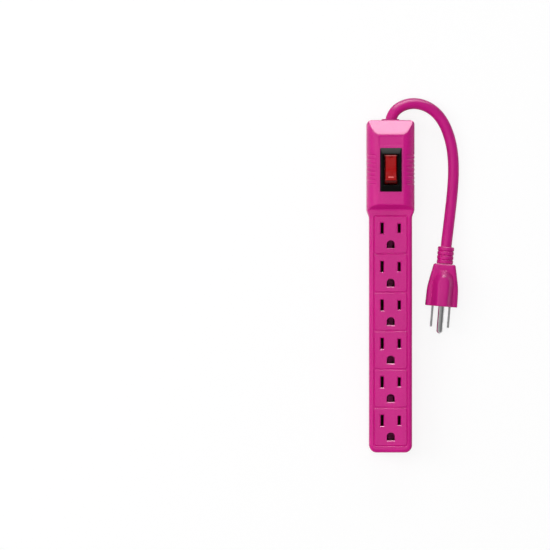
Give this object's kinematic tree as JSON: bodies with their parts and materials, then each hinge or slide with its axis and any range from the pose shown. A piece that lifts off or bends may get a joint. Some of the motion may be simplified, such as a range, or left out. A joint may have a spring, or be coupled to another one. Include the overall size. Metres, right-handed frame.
{
  "type": "power strip",
  "caption": "Slim magenta power strip with a raised head, a red rocker switch in a black bezel, a row of grounded outlets, a short cord and a grounded plug.",
  "frame": {"origin": "centre of the strip's footprint, on the surface that its back lies on", "axes": "+Y along the strip towards the cord end, +X across it towards the line slots, +Z out of the outlets"},
  "size_m": [0.0691, 0.2636, 0.0355],
  "materials": {
    "case": "satin magenta ABS with a fine moulded texture",
    "cord": "satin magenta PVC",
    "black": "satin black nylon",
    "lens": "glossy translucent red polycarbonate",
    "brass": "stamped spring brass",
    "nickel": "nickel plated brass",
    "steel": "zinc plated steel",
    "glass": "clear glass neon envelope",
    "resistor": "painted resistor body",
    "black_wire": "black PVC insulation",
    "white_wire": "white PVC insulation",
    "green_wire": "green PVC insulation"
  },
  "bodies": {
    "strip": {"top_cover": "case", "bottom_cover": "case", "cord": "cord", "cord_grip": "cord", "plug_strain_relief": "cord", "plug_body": "cord", "plug_bridge": "black", "switch_frame": "black", "switch_base": "black", "load_terminal": "brass", "line_terminal": "brass", "lamp_terminal": "brass", "neutral_bus": "brass", "line_bus": "brass", "ground_bus": "brass", "neon_lamp": "glass", "lamp_resistor": "resistor", "line_wire": "black_wire", "neutral_wire": "white_wire", "ground_wire": "green_wire", "load_wire": "black_wire", "lamp_wire": "white_wire", "neutral_blade": "nickel", "line_blade": "nickel", "ground_pin": "nickel", "cover_screw_1": "steel", "cover_screw_2": "steel", "cover_screw_3": "steel", "cover_screw_4": "steel", "cover_screw_5": "steel", "cover_screw_6": "steel", "cover_screw_7": "steel", "cover_screw_8": "steel"},
    "rocker_body": {"rocker": "lens", "plunger": "black", "plunger_spring": "steel"},
    "lever_body": {"contact_lever": "brass"}
  },
  "joints": [
    {"name": "rocker_tilt", "type": "hinge", "parent": "strip", "child": "rocker_body", "pos_m": [0, 0.08645, 0.0286], "axis": [1, 0, 0], "range_deg": [0, 24]},
    {"name": "lever_tilt", "type": "hinge", "parent": "strip", "child": "lever_body", "pos_m": [0, 0.08645, 0.0182], "axis": [1, 0, 0], "range_deg": [-14, 0]}
  ],
  "couplings": [
    {"joint": "lever_tilt", "follows": "rocker_tilt", "ratio": -0.58333}
  ]
}
